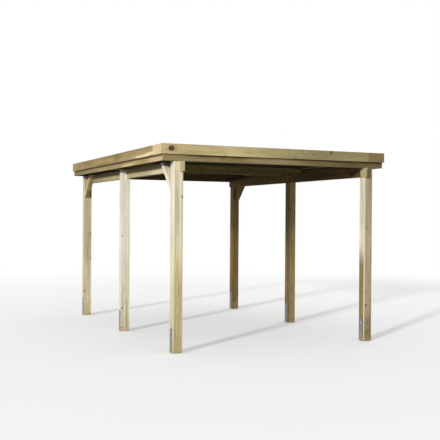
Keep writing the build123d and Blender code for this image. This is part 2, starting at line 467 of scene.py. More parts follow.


# %% [markdown]
# ## One finish for each timber
# Each piece is its own slice of its own tree, so each gets a material of its own: the same group
# with a different seed, pith and colour. The Mapping node turns the piece's grain to Z and puts
# the section's middle at zero, from the corners of the piece's own box. Weather and marks are laid
# over it in the carport's own coordinates, since rain knows nothing of the grain.

# %% Grain, seeds and weather on timber
GRAIN_TURN = {
    "Z": (0.0, 0.0, 0.0),
    "Y": (math.pi / 2, 0.0, 0.0),
    "X": (0.0, -math.pi / 2, 0.0),
    "rising": (math.pi / 4, 0.0, 0.0),
    "falling": (-math.pi / 4, 0.0, 0.0),
}
FIRST_SEED = 3.0
SEED_STEP = 7.3
TIMBER_SPECULAR = 0.22
TIMBER_RELIEF = 0.0009
RELIEF_STRENGTH = 0.7
DUST_SHARE = 0.6
SPLASH_SHARE = 0.6
DUST_ON_TIMBER = (0.3, 0.275, 0.215, 1)
SPLASH_ON_TIMBER = (0.46, 0.37, 0.16, 1)
RUN_TINT = (0.5, 0.42, 0.26, 1)
seeds = itertools.count(FIRST_SEED, SEED_STEP)
print("first seed:", FIRST_SEED, "step:", SEED_STEP)

# %% Timber finish


def slice_of_tree(tree, coords, corners, grain, wood, pith, values):
    """The Sawn pine group, with its grain along Z and zero in the middle of the piece."""
    low, high = corners
    turn = GRAIN_TURN[grain]
    matrix = Euler(turn).to_matrix()
    middle = matrix @ ((low + high) / 2)
    half = Vector(map(abs, matrix @ ((high - low) / 2)))
    centred = {"Vector": coords["Object"], "Location": -middle, "Rotation": turn}
    place = add(tree, "ShaderNodeMapping", centred).outputs[0]
    turned = {"Vector": coords["Normal"], "Rotation": turn}
    facing = add(tree, "ShaderNodeMapping", turned, vector_type="NORMAL").outputs[0]
    end = ramp(tree, calc(tree, "ABSOLUTE", parts_of(tree, facing)[2]), 0.9, 0.97)
    inputs = {"Place": place, "Pith": (*pith, 0.0), "Half size": half, "End grain": end, **values}
    for title, colour in zip(("Sapwood", "Streak", "Heartwood", "Knot"), wood):
        inputs[f"{title} colour"] = (*colour, 1)
    return place_group(tree, timber, inputs)


def timber_finish(node, grain, wood, pith, heart=0.25, splits=0.4, marks=(), runs=0.35):
    """Gives one timber its own slice of a tree, with its marks and its weather."""
    seed = next(seeds)
    material, tree, shader, coords = new_finish(f"{node}_pine")
    values = {"Seed": seed, "Heartwood": heart, "Splits": splits}
    pine = slice_of_tree(tree, coords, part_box(node), grain, wood, pith, values)
    masks = weather_masks(tree, coords, seed)
    base = lay_marks(tree, coords, pine["Color"], marks)
    base = lay_over(tree, base, RUN_TINT, masks["Runs"], runs, "MULTIPLY")
    base = lay_over(tree, base, SPLASH_ON_TIMBER, masks["Splash"], SPLASH_SHARE)
    base = lay_over(tree, base, DUST_ON_TIMBER, masks["Dust"], DUST_SHARE)
    fill(tree, shader, {
        "Base Color": base,
        "Roughness": calc(tree, "MULTIPLY_ADD", masks["Dust"], 0.2, pine["Roughness"]),
        "Specular IOR Level": TIMBER_SPECULAR,
        "Normal": bump(tree, pine["Height"], RELIEF_STRENGTH, TIMBER_RELIEF),
    })
    set_finish(nodes[node], material)


# %% [markdown]
# ## Posts
# The posts are the palest timber: they hold the pith, so their faces are mostly sapwood. Those on
# the left are creamy to tan, the front right one is pinker, and the two behind it are brown, partly
# as painted shade. The marks are what singles each one out: arrises rubbed pale and partly given
# a painted highlight, a front face yellowed near the ground, a resin streak, a brown streak at the
# middle left foot, a left face brown at the foot on the front right, and the painted olive shadow
# of the rear left brace on its post. Painted shade darkens the left faces of the middle and rear
# left posts and of the middle right post, and the front face of the front right post, and painted
# light brightens the upper front face of the middle left post. On the left the X of a face is
# below zero, so there the same names carry a minus sign.

# %% Post woods
CREAM = Wood((0.82, 0.77, 0.56), (0.66, 0.59, 0.38), (0.54, 0.4, 0.23), (0.2, 0.1, 0.04))
PALE = Wood((0.94, 0.87, 0.7), (0.86, 0.79, 0.6), (0.62, 0.48, 0.3), (0.24, 0.13, 0.06))
TAN = Wood((0.78, 0.66, 0.43), (0.6, 0.48, 0.28), (0.5, 0.34, 0.17), (0.2, 0.1, 0.04))
ROSE = Wood((0.88, 0.83, 0.67), (0.66, 0.58, 0.43), (0.46, 0.3, 0.2), (0.18, 0.08, 0.04))
# NUT and BROWN are darker in part as painted shade over the right-hand posts.
NUT = Wood((0.56, 0.41, 0.195), (0.42, 0.3, 0.125), (0.3, 0.17, 0.07), (0.06, 0.028, 0.012))
BROWN = Wood((0.38, 0.25, 0.092), (0.27, 0.17, 0.057), (0.2, 0.11, 0.042), (0.06, 0.028, 0.012))
POST_WOODS = {
    "front_left": CREAM, "middle_left": PALE, "rear_left": TAN,
    "front_right": ROSE, "middle_right": NUT, "rear_right": BROWN,
}

# %% Post marks
OUTER_X, INNER_X, MIDDLE_X = 1.375, 1.26, 1.3175
FRONT_ROW, REAR_ROW = -2.01, 2.01
FRONT_POST_FACE, MIDDLE_POST_FACE, REAR_POST_FACE = -2.0675, -0.0575, 1.9525

POST_MARKS = {
    "front_left": [
        stain_and_shade((-MIDDLE_X, FRONT_POST_FACE, 0.15), (0.2, 0.02, 1.35), (0.84, 0.76, 0.58)),
        stain_and_shade((-OUTER_X, FRONT_ROW, 0.15), (0.02, 0.2, 0.95), (0.86, 0.88, 0.95)),
        stain_and_shade((-1.354, FRONT_POST_FACE, 1.1), (0.014, 0.01, 4.0), (0.9, 0.89, 0.82), 0.3, 0.3),
        Mark((-1.292, FRONT_POST_FACE, 1.6), (0.022, 0.01, 1.1), (0.92, 0.86, 0.62), 0.6, 0.3, 0.3),
        Mark((-OUTER_X, -2.03, 2.05), (0.02, 0.07, 0.75), (0.95, 0.9, 0.72), 0.55, 0.5, 0.3),
        # Pale arris: rubbed wood, and partly a painted highlight where it catches the light.
        Mark((-OUTER_X, FRONT_POST_FACE, 1.1), (0.017, 0.017, 4.0), (0.93, 0.89, 0.72), 0.6, 0.6, 0.1),
        Mark((-1.308, FRONT_POST_FACE, 0.73), (0.007, 0.012, 0.08), (0.3, 0.15, 0.06), 0.7),
        Mark((-1.335, FRONT_POST_FACE, 2.19), (0.05, 0.02, 0.1), (0.88, 0.72, 0.48), 0.7, 0.3),
    ],
    "middle_left": [
        # Painted shade on the left face.
        stain_and_shade((-OUTER_X, 0.0, 1.1), (0.02, 0.3, 4.0), (0.82, 0.84, 0.88), 0.5, 0.1),
        stain_and_shade((-MIDDLE_X, MIDDLE_POST_FACE, 0.3), (0.1, 0.02, 0.75), (0.88, 0.87, 0.84), 0.5, 0.3),
        # Painted light on the upper front face.
        Mark((-MIDDLE_X, MIDDLE_POST_FACE, 1.7), (0.1, 0.02, 0.65), (0.97, 0.93, 0.81), 0.5, 0.4, 0.3),
        stain_and_shade((-1.297, MIDDLE_POST_FACE, 0.22), (0.017, 0.02, 0.33), (0.6, 0.54, 0.44), 0.45, 0.35),
    ],
    "rear_left": [
        # Painted shade on the left face.
        stain_and_shade((-OUTER_X, REAR_ROW, 1.1), (0.02, 0.3, 4.0), (0.84, 0.84, 0.86), 0.5, 0.1),
        # Pale arris: rubbed wood, and partly a painted highlight where it catches the light.
        Mark((-INNER_X, REAR_POST_FACE, 1.1), (0.014, 0.014, 4.0), (0.93, 0.89, 0.74), 0.7, 0.6, 0.1),
        Mark((-1.325, REAR_POST_FACE, 1.7), (0.02, 0.03, 0.45), (0.6, 0.45, 0.25), 0.6, 0.3, 0.4),
        # Painted olive shadow of the brace on the post's front face, under the roof.
        Mark(
            (-1.28, REAR_POST_FACE, 2.05), (0.05, 0.05, 0.2), (0.4, 0.32, 0.13),
            0.8, 0.6, 0.3, square=1.0,
        ),
    ],
    # Painted shade on the middle right post's left face.
    "middle_right": [stain_and_shade((INNER_X, 0.0, 1.1), (0.02, 0.3, 4.0), (0.7, 0.7, 0.72), 0.5, 0.1)],
    "front_right": [
        # Painted shade on the front face.
        stain_and_shade((MIDDLE_X, -2.0775, 1.1), (0.3, 0.035, 4.0), (0.56, 0.49, 0.41), 0.5, 0.1),
        stain_and_shade((MIDDLE_X, FRONT_POST_FACE, 0.1), (0.3, 0.2, 0.3), (0.65, 0.66, 0.71)),
        stain_and_shade((1.3275, FRONT_POST_FACE, 0.03), (0.2, 0.03, 0.17), (0.3, 0.23, 0.16), 0.5, 0.3),
        stain_and_shade((INNER_X, FRONT_ROW, 0.25), (0.02, 0.3, 1.05), (0.385, 0.3, 0.162), 0.65, 0.35),
        # Pale arris: rubbed wood, and partly a painted highlight where it catches the light.
        Mark((INNER_X, FRONT_POST_FACE, 1.1), (0.015, 0.015, 4.0), (0.86, 0.78, 0.6), 0.8, 0.6, 0.1),
        Mark(
            (1.3185, FRONT_POST_FACE, 2.172), (0.041, 0.02, 0.07), (0.12, 0.105, 0.03),
            0.9, 0.85, 0.08, square=1.0,
        ),
    ],
}

# %% Post finishes
POST_PITH = (0.012, 0.02)

for place, wood in POST_WOODS.items():
    out = -1 if place.endswith("left") else 1
    pith = (out * POST_PITH[0], POST_PITH[1])
    spots = POST_MARKS.get(place, ())
    timber_finish(f"post_{place}", "Z", wood, pith, heart=0.3, splits=0.7, marks=spots)
print("posts finished:", len(POST_WOODS))

# %% [markdown]
# ## Purlins, braces and rafters
# These are sawn from the side of the log. The left purlin is straw-coloured, with painted shade
# and dirt along its top. The right one is dark brown, partly painted shade, with more painted shade
# on its inner face and a painted patch of sunlight at its front end. The front left brace is as
# pale as the posts. The rear left one is tan with painted olive shade and a brown foot, and the
# rear right one is brown. The rafters are olive brown: the rear one is darkest, and the middle one
# has painted shade along its underside.

# %% Purlin finishes
STRAW = Wood((0.6, 0.52, 0.3), (0.46, 0.38, 0.19), (0.38, 0.23, 0.11), (0.13, 0.06, 0.025))
# DARK is dark brown wood, partly painted shade for the right purlin's inner face.
DARK = Wood((0.265, 0.158, 0.043), (0.172, 0.1, 0.027), (0.128, 0.07, 0.021), (0.05, 0.024, 0.01))
PURLIN_PITH = (0.01, -0.05)
PURLIN_WOODS = {"left": STRAW, "right": DARK}
PURLIN_MARKS = {
    "left": [
        Mark((-1.275, -2.08, 2.185), (0.06, 0.03, 0.11), (0.57, 0.49, 0.285), 0.8, 0.8),
        stain_and_shade((-1.275, 2.1, 2.185), (0.2, 2.6, 0.3), (0.7, 0.7, 0.62), 0.2, 0.2, 0.8),
        # Painted shade and dirt along the top of the purlin.
        stain_and_shade((-1.275, 0.0, 2.245), (0.2, 2.04, 0.055), (0.67, 0.63, 0.44), 0.85, 0.1, square=1.0),
        Mark((-1.305, -1.5, 2.15), (0.02, 0.75, 0.08), (0.78, 0.72, 0.5), 0.75, 0.3, 0.3),
    ],
    "right": [
        # Painted shade on the inner face.
        stain_and_shade((1.245, -0.75, 2.185), (0.05, 0.75, 0.3), (0.43, 0.46, 0.38), 0.3),
        # Painted shade behind the patch of sunlight.
        stain_and_shade((1.245, -1.87, 2.14), (0.03, 0.13, 0.07), (0.45, 0.48, 0.46), 0.8, 0.15, square=1.0),
        # A painted patch of sunlight on the front end.
        Mark((1.245, -2.08, 2.185), (0.12, 0.1, 0.2), (0.46, 0.39, 0.215), 0.95, 0.8, 0.15),
        Mark(
            (1.3185, -2.0795, 2.17), (0.041, 0.03, 0.066), (0.16, 0.12, 0.045),
            0.88, 0.85, 0.08, square=1.0,
        ),
    ],
}

for side, wood in PURLIN_WOODS.items():
    timber_finish(f"purlin_{side}", "Y", wood, PURLIN_PITH, heart=0.4, marks=PURLIN_MARKS[side])
print("purlins finished:", len(PURLIN_WOODS))

# %% Brace and rafter finishes
OLIVE = Wood((0.51, 0.42, 0.14), (0.375, 0.3, 0.097), (0.38, 0.25, 0.097), (0.08, 0.04, 0.015))
DUSK = Wood((0.22, 0.16, 0.075), (0.15, 0.105, 0.046), (0.16, 0.095, 0.04), (0.05, 0.025, 0.01))
BRACE_PITH = (0.05, 0.03)
RAFTER_PITH = (0.02, -0.04)
BRACE_WOODS = {
    "front_left": ("rising", PALE), "rear_left": ("falling", TAN), "rear_right": ("falling", BROWN),
}
# The rear left brace: painted olive shade on its inner half and outer face, and a brown foot.
REAR_LEFT_BRACE_SHADE_AND_FOOT = [
    Mark((-1.29, 1.8, 2.12), (0.046, 0.4, 0.16), (0.36, 0.28, 0.1), 0.9, 0.85, 0.15, square=1.0),
    Mark((-OUTER_X, 1.75, 2.12), (0.045, 0.4, 0.15), (0.46, 0.38, 0.16), 0.8, 0.85, 0.15, square=1.0),
    Mark((-1.33, 1.92, 1.94), (0.045, 0.1, 0.07), (0.36, 0.2, 0.09), 0.85, 0.6, 0.3, square=1.0),
]
RAFTER_WOODS = {1: OLIVE, 2: OLIVE, 3: DUSK}
# Painted shade along the middle rafter's underside.
MIDDLE_RAFTER_UNDERSIDE_SHADE = [stain_and_shade((0, 0, 2.229), (3.0, 2.3, 0.008), (0.6, 0.57, 0.46), 0.4, 0.1)]

for corner, (grain, wood) in BRACE_WOODS.items():
    spots = REAR_LEFT_BRACE_SHADE_AND_FOOT if corner == "rear_left" else ()
    timber_finish(f"knee_brace_{corner}", grain, wood, BRACE_PITH, marks=spots)
for number, wood in RAFTER_WOODS.items():
    spots = MIDDLE_RAFTER_UNDERSIDE_SHADE if number == 2 else ()
    timber_finish(f"rafter_{number}", "X", wood, RAFTER_PITH, heart=0.4, marks=spots)
print("braces and rafters finished:", len(BRACE_WOODS) + len(RAFTER_WOODS))

# %% [markdown]
# ## Fascia
# The fascia is the most weathered timber, because it takes all the rain. Its front boards go from
# straw on the left to olive on the right, and the sides are browner, with pale flecks on the left
# one and two painted patches of sunlight on its lower board. A dark line on the lower boards, just
# under the lap of the upper ones, is painted shade and dirt. The upper front board has a big dark
# knot near its left end and a redder right end. The front boards cover the ends of the side boards.

# %% Fascia woods
HONEY = Wood((0.66, 0.55, 0.285), (0.53, 0.425, 0.2), (0.5, 0.32, 0.15), (0.14, 0.06, 0.025))
WHEAT = Wood((0.48, 0.375, 0.18), (0.36, 0.27, 0.115), (0.4, 0.24, 0.11), (0.12, 0.05, 0.02))
AMBER = Wood((0.46, 0.35, 0.162), (0.33, 0.235, 0.098), (0.31, 0.17, 0.07), (0.1, 0.04, 0.018))
BARK = Wood((0.3, 0.232, 0.102), (0.22, 0.168, 0.07), (0.26, 0.15, 0.07), (0.08, 0.035, 0.015))
FASCIA_WOODS = {
    "upper_front": HONEY, "upper_rear": WHEAT, "upper_left": AMBER, "upper_right": AMBER,
    "lower_front": BARK, "lower_rear": BARK, "lower_left": WHEAT, "lower_right": WHEAT,
}

# %% Fascia marks
# The dark line under the lap is painted shade and dirt.
LAP_HEIGHT = 2.32
LAP_SHADE_AND_DIRT = (0.085, 0.052, 0.012)
UPPER_FRONT, LOWER_FRONT, LOWER_REAR = -2.0995, -2.0795, 2.0795
UPPER_SIDE, LOWER_SIDE = 1.537, 1.517
ALONG_X, ALONG_Y = (9.0, 0.03, 0.03), (0.03, 9.0, 0.03)


def lap_shade_and_dirt(x, y, half):
    """The dark line of painted shade and dirt on a lower board under the lap."""
    return Mark((x, y, LAP_HEIGHT), half, LAP_SHADE_AND_DIRT, 0.92, 0.55, 0.2)


FASCIA_MARKS = {
    "upper_front": [
        stain_and_shade((0.75, UPPER_FRONT, 2.38), (1.6, 0.5, 0.5), (0.49, 0.52, 0.49), 0.1, 0.1),
        Mark(
            (1.46, UPPER_FRONT, 2.375), (0.18, 0.1, 0.12), (0.2, 0.14, 0.06),
            0.85, 0.85, 0.12, square=1.0,
        ),
        Mark((-1.41, UPPER_FRONT, 2.386), (0.09, 0.06, 0.055), (0.34, 0.2, 0.1), 0.7, 0.3, 0.3),
        Mark((-1.422, UPPER_FRONT, 2.385), (0.041, 0.05, 0.035), (0.05, 0.022, 0.01), 0.95, 0.7, 0.3),
        Mark((-1.419, UPPER_FRONT, 2.387), (0.03, 0.04, 0.025), (0.12, 0.058, 0.028), 0.6, 0.3, 1.1),
    ],
    "lower_front": [
        lap_shade_and_dirt(0, LOWER_FRONT, ALONG_X),
        Mark((-1.5, LOWER_FRONT, 2.28), (0.5, 0.1, 0.1), (0.35, 0.26, 0.12), 0.7, 0.3, 0.3),
        Mark((-0.12, LOWER_FRONT, 2.28), (0.5, 0.1, 0.06), (0.37, 0.29, 0.165), 0.38, 0.3, 0.3),
        stain_and_shade((1.4, LOWER_FRONT, 2.28), (1.4, 0.2, 0.2), (0.56, 0.55, 0.44), 0.3, 0.2, 0.9),
    ],
    "upper_left": [
        stain_and_shade((-UPPER_SIDE, 0.7, 2.38), (1.0, 1.6, 1.0), (0.84, 0.83, 0.76), 0.6),
        stain_and_shade((-UPPER_SIDE, -0.35, 2.39), (0.1, 0.3, 0.08), (0.74, 0.71, 0.69), 0.2, 0.6, 0.8),
        Mark((-UPPER_SIDE, -1.4, 2.334), (0.03, 0.42, 0.022), (0.9, 0.72, 0.44), 0.85, 0.4, 0.4),
        Mark((-UPPER_SIDE, -1.72, 2.35), (0.03, 0.3, 0.022), (0.9, 0.72, 0.44), 0.8, 0.4, 0.4),
        Mark(
            (-UPPER_SIDE, -1.99, 2.38), (0.2, 0.24, 0.2), (0.74, 0.58, 0.36),
            0.75, 0.8, 0.25, square=1.0,
        ),
    ],
    "lower_left": [
        Mark((-LOWER_SIDE, -1.95, 2.28), (0.1, 0.5, 0.2), (0.61, 0.47, 0.27), 0.7, 0.5, 0.3),
        # Painted patches of sunlight: the next two pale marks.
        Mark((-LOWER_SIDE, -0.75, 2.262), (0.03, 0.4, 0.02), (0.74, 0.61, 0.37), 0.6, 0.2, 0.5),
        Mark((-LOWER_SIDE, 0.75, 2.285), (0.03, 0.3, 0.022), (0.6, 0.46, 0.24), 0.55, 0.2, 0.5),
        lap_shade_and_dirt(-LOWER_SIDE, 0, ALONG_Y),
        stain_and_shade((-LOWER_SIDE, 2.1, 2.28), (1.0, 2.9, 1.0), (0.52, 0.52, 0.48), 0.15, 0.1),
    ],
    "lower_right": [lap_shade_and_dirt(LOWER_SIDE, 0, ALONG_Y)],
    "lower_rear": [lap_shade_and_dirt(0, LOWER_REAR, ALONG_X)],
}

# %% Fascia finishes
END_BOARD = ("X", (0.012, 0.07))
SIDE_BOARD = ("Y", (0.07, 0.012))

for place, wood in FASCIA_WOODS.items():
    grain, pith = END_BOARD if place.endswith(("front", "rear")) else SIDE_BOARD
    spots = FASCIA_MARKS.get(place, ())
    timber_finish(f"fascia_{place}", grain, wood, pith, 0.5, 0.2, marks=spots, runs=0.12)
print("timber materials:", sum(material.name.endswith("_pine") for material in bpy.data.materials))

# %% [markdown]
# ## Roof sheets
# The roof is dark ribbed sheet. Its colour hardly changes, so what makes it real is what lies on
# it: dust and dirt stay in the flat pans between the ribs, where water dries last, while the
# crests are washed clean. The height above the falling roof plane tells pan from crest, and the
# plane's height and fall are those of the CAD model. Faces that look down are duller and
# browner.

# %% Roof finish
SHEETS = (1, 2, 3)
SHEET_BASE = 2.34924
ROOF_FALL = 0.032
RAFTER_SPAN = 4.059
SHEET_SLOPE = ROOF_FALL / RAFTER_SPAN
RIB_HEIGHT = 0.018
SHEET_COLOUR = (0.037, 0.038, 0.037, 1)
SHEET_FADED = (0.066, 0.066, 0.063, 1)
SHEET_UNDER = (0.035, 0.025, 0.01, 1)
SHEET_SPECULAR = 0.15
PAN_DIRT = (0.16, 0.15, 0.125, 1)
GRIT_RELIEF = 0.0006
FIRST_SHEET_SEED = 40.0
SHEET_SEED_STEP = 5

for number in SHEETS:
    material, tree, shader, coords = new_finish(f"roof_sheet_{number}_finish")
    masks = weather_masks(tree, coords, FIRST_SHEET_SEED + SHEET_SEED_STEP * number)
    place = parts_of(tree, coords["Object"])
    plane = calc(tree, "MULTIPLY_ADD", place[1], -SHEET_SLOPE, SHEET_BASE)
    above_pan = calc(tree, "SUBTRACT", place[2], plane)
    in_pan = ramp(tree, above_pan, RIB_HEIGHT * 0.15, RIB_HEIGHT * 0.7, 1.0, 0.15)
    blotch = drawn_out(tree, coords["Object"], (9, 1.6, 9), 4.0, 0.65)
    speck = noise(tree, coords["Object"], 260.0)
    dirt = calc(tree, "MULTIPLY", masks["Dust"], in_pan)
    dirt = calc(tree, "MULTIPLY", dirt, ramp(tree, blotch, 0.3, 0.62, 0.25, 1.0))
    under = ramp(tree, parts_of(tree, coords["Normal"])[2], -0.3, 0.2, 1.0, 0.0)
    base = blend_colour(tree, ramp(tree, blotch, 0.35, 0.7), SHEET_COLOUR, SHEET_FADED)
    base = lay_over(tree, base, PAN_DIRT, dirt, 0.75)
    worn = calc(tree, "MULTIPLY_ADD", dirt, 0.4, calc(tree, "MULTIPLY_ADD", blotch, 0.22, 0.4))
    grit = calc(tree, "MULTIPLY", speck, calc(tree, "MULTIPLY_ADD", dirt, 0.9, 0.1))
    fill(tree, shader, {
        "Base Color": blend_colour(tree, under, base, SHEET_UNDER),
        "Roughness": calc(tree, "MULTIPLY_ADD", under, 0.5, worn, clamp=True),
        "Specular IOR Level": SHEET_SPECULAR,
        "Normal": bump(tree, grit, 0.4, GRIT_RELIEF),
    })
    set_finish(nodes[f"roof_sheet_{number}"], material)
print("roof sheets finished:", len(SHEETS))

# %% [markdown]
# ## Galvanised steel
# Zinc freezes on steel in flat crystals, each with a slightly different grey: the spangle.
# A Voronoi texture makes such cells, and its cell colour sets both the grey and the roughness.
# Out of doors the zinc dulls, and rain splash leaves a chalky bloom near the ground. The same
# group serves the shoes and, with smaller crystals, the bolts and screws.

# %% Zinc group
CHALK = (0.56, 0.54, 0.48, 1)

zinc, given, result = new_group(
    "Zinc",
    [
        ("Place", PLACE, (0, 0, 0)),
        ("Crystals per metre", NUMBER, 90.0),
        ("Bloom", NUMBER, 0.0),
        ("Bright colour", COLOUR, (0.385, 0.39, 0.385, 1)),
        ("Dull colour", COLOUR, (0.19, 0.195, 0.19, 1)),
    ],
    [("Color", COLOUR), ("Roughness", NUMBER), ("Height", NUMBER)],
)
bend = calc(zinc, "MULTIPLY", noise(zinc, given["Place"], 60.0), 0.01)
bent = vector(zinc, "ADD", given["Place"], place_of(zinc, x=bend))
crystal_inputs = {"Vector": bent, "Scale": given["Crystals per metre"]}
crystals = add(zinc, "ShaderNodeTexVoronoi", crystal_inputs).outputs
grey = parts_of(zinc, crystals["Color"])
cloudy = noise(zinc, given["Place"], 14.0, 3.0)
shade = calc(zinc, "MULTIPLY_ADD", grey[0], 0.6, calc(zinc, "MULTIPLY", cloudy, 0.5))
base = blend_colour(zinc, shade, given["Dull colour"], given["Bright colour"])
patchy = ramp(zinc, noise(zinc, given["Place"], 34.0, 4.0, 0.65), 0.4, 0.68)
chalk = calc(zinc, "MULTIPLY", given["Bloom"], patchy)
dulled = calc(zinc, "MULTIPLY_ADD", grey[1], 0.16, 0.36)
edges = calc(zinc, "MULTIPLY", grey[0], 0.15)
fill(zinc, result, {
    "Color": lay_over(zinc, base, CHALK, chalk, 0.6),
    "Roughness": calc(zinc, "MULTIPLY_ADD", chalk, 0.35, dulled),
    "Height": calc(zinc, "MULTIPLY_ADD", chalk, 0.5, edges),
})
print("zinc nodes:", len(zinc.nodes))

# %% Steel finish for the shoes
ROWS = ("front", "middle", "rear")
SIDES = {"left": -1, "right": 1}
SHOE_SPLASH_HEIGHT = 0.22
MUD_ON_ZINC = (0.2, 0.17, 0.11, 1)
RUNS_ON_ZINC = (0.24, 0.2, 0.15, 1)
ZINC_RELIEF = 0.0004

for row, side in itertools.product(ROWS, SIDES):
    node = f"post_shoe_{row}_{side}"
    material, tree, shader, coords = new_finish(f"{node}_zinc")
    masks = weather_masks(tree, coords, next(seeds), SHOE_SPLASH_HEIGHT)
    coat = place_group(tree, zinc, {"Place": coords["Object"], "Bloom": masks["Splash"]})
    base = lay_over(tree, coat["Color"], MUD_ON_ZINC, masks["Splash"], 0.45)
    fill(tree, shader, {
        "Base Color": lay_over(tree, base, RUNS_ON_ZINC, masks["Runs"], 0.3),
        "Roughness": coat["Roughness"],
        "Metallic": calc(tree, "MULTIPLY_ADD", masks["Splash"], -0.55, 0.95),
        "Normal": bump(tree, coat["Height"], 0.3, ZINC_RELIEF),
    })
    set_finish(nodes[node], material)
print("shoes finished:", sum(material.name.endswith("_zinc") for material in bpy.data.materials))

# %% [markdown]
# ## One tree for every bolt and screw
# A bolt is a washer, a head and an end, one on top of the other, and so is a nut on its stub of
# thread, or a screw with its driver socket. Copies could be placed by hand, but a Geometry Nodes
# tree with a size for each part makes them all: it builds one, sets it on every point that it is
# given, points it the way that the point's own attribute says, and gives each a random turn
# from a fixed seed. It ends in Realize Instances and Set Material, so the result is a plain mesh.

# %% Fastener tree: its inputs
SHAPE, WHOLE, METAL = "NodeSocketGeometry", "NodeSocketInt", "NodeSocketMaterial"

fastener, given, result = new_group(
    "Fastener",
    [
        ("Geometry", SHAPE, None),
        ("Washer radius", NUMBER, 0.01),
        ("Washer height", NUMBER, 0.002),
        ("Head radius", NUMBER, 0.009),
        ("Head top radius", NUMBER, 0.009),
        ("Head height", NUMBER, 0.006),
        ("Head sides", WHOLE, 6),
        ("End radius", NUMBER, 0.005),
        ("End top radius", NUMBER, 0.005),
        ("End height", NUMBER, 0.004),
        ("End sides", WHOLE, 16),
        ("End shade", NUMBER, 0.0),
        ("Seed", WHOLE, 0),
        ("Metal", METAL, None),
    ],
    [("Geometry", SHAPE)],
    "GeometryNodeTree",
)
print("fastener sockets:", len(fastener.interface.items_tree))

# %% Fastener tree: one fastener
WASHER_SIDES = 24


def turned_part(part, top, sides, lift, shade):
    """A short cylinder or cone that stands on the part below it, with its shade stored."""
    sizes = {
        "Vertices": sides, "Depth": given[f"{part} height"],
        "Radius Bottom": given[f"{part} radius"], "Radius Top": given[f"{part} {top}"],
    }
    cone = add(fastener, "GeometryNodeMeshCone", sizes, fill_type="NGON").outputs["Mesh"]
    lifted = {"Geometry": cone, "Translation": place_of(fastener, z=lift)}
    raised = add(fastener, "GeometryNodeTransform", lifted).outputs[0]
    stored = {"Geometry": raised, "Name": "shade", "Value": shade}
    kept = {"data_type": "FLOAT", "domain": "FACE"}
    return add(fastener, "GeometryNodeStoreNamedAttribute", stored, **kept).outputs[0]


head_low = given["Washer height"]
end_low = calc(fastener, "ADD", head_low, given["Head height"])
washer = turned_part("Washer", "radius", WASHER_SIDES, 0.0, 0.0)
head = turned_part("Head", "top radius", given["Head sides"], head_low, 0.0)
end = turned_part("End", "top radius", given["End sides"], end_low, given["End shade"])
whole = add(fastener, "GeometryNodeJoinGeometry")
for part in (washer, head, end):
    fill(fastener, whole, {0: part})
print("nodes for one fastener:", len(fastener.nodes))

# %% Fastener tree: one on each point
named = {"Name": "facing"}
pointing = add(fastener, "GeometryNodeInputNamedAttribute", named, data_type="FLOAT_VECTOR").outputs[0]
aligned = add(fastener, "FunctionNodeAlignRotationToVector", {"Vector": pointing}, axis="Z").outputs[0]
full_turn = {2: 0.0, 3: 2 * math.pi, "Seed": given["Seed"]}
angle = add(fastener, "FunctionNodeRandomValue", full_turn, data_type="FLOAT").outputs[1]
spin = add(fastener, "FunctionNodeEulerToRotation", {"Euler": place_of(fastener, z=angle)}).outputs[0]
both = {"Rotation": aligned, "Rotate By": spin}
turned = add(fastener, "FunctionNodeRotateRotation", both, rotation_space="LOCAL").outputs[0]
setting = {"Points": given["Geometry"], "Instance": whole.outputs[0], "Rotation": turned}
copies = add(fastener, "GeometryNodeInstanceOnPoints", setting).outputs[0]
plain = add(fastener, "GeometryNodeRealizeInstances", {"Geometry": copies}).outputs[0]
painted = {"Geometry": plain, "Material": given["Metal"]}
fill(fastener, result, {"Geometry": add(fastener, "GeometryNodeSetMaterial", painted).outputs[0]})
print("fastener nodes:", len(fastener.nodes))

# %% [markdown]
# ## Fastener metal
# Bolts and screws get the Zinc group with fine crystals, made yellower for the screws. The tree
# stored a shade on each face: it is 1 in a driver socket, which is only a shallow star on the
# model and has to look deep, so the material reads it and goes nearly black there.

# %% Fastener metals
FINE_CRYSTALS = 400.0
SOCKET_BLACK = (0.02, 0.018, 0.015, 1)


def fastener_metal(name, bright, dull):
    """Zinc with dark sockets."""
    material, tree, shader, coords = new_finish(name)
    inputs = {
        "Place": coords["Object"], "Crystals per metre": FINE_CRYSTALS,
        "Bright colour": bright, "Dull colour": dull,
    }
    coat = place_group(tree, zinc, inputs)
    socket = add(tree, "ShaderNodeAttribute", attribute_name="shade").outputs["Fac"]
    fill(tree, shader, {
        "Base Color": blend_colour(tree, socket, coat["Color"], SOCKET_BLACK),
        "Roughness": calc(tree, "MULTIPLY_ADD", socket, 0.4, coat["Roughness"]),
        "Metallic": calc(tree, "SUBTRACT", 0.9, calc(tree, "MULTIPLY", socket, 0.9)),
    })
    return material


BOLT_ZINC = fastener_metal("bolt_zinc", (0.6, 0.61, 0.61, 1), (0.36, 0.365, 0.37, 1))
SCREW_ZINC = fastener_metal("screw_zinc", (0.6, 0.53, 0.36, 1), (0.38, 0.31, 0.17, 1))
print("fastener metals:", BOLT_ZINC.name, SCREW_ZINC.name)

# %% [markdown]
# ## Placing a set
# A set starts as a mesh of bare points, each with the way that its fastener faces. The tree's
# inputs are set on a modifier, which takes them by the socket's identifier and not by its name.
# The finished shape is then copied out as a plain mesh and the modifier goes. The face that a
# fastener stands on is read from the box of the piece that it holds, so two small helpers read
# a box: one gives the place of a face and one the middle.

# %% Helpers that place a set
X, Y = 0, 1


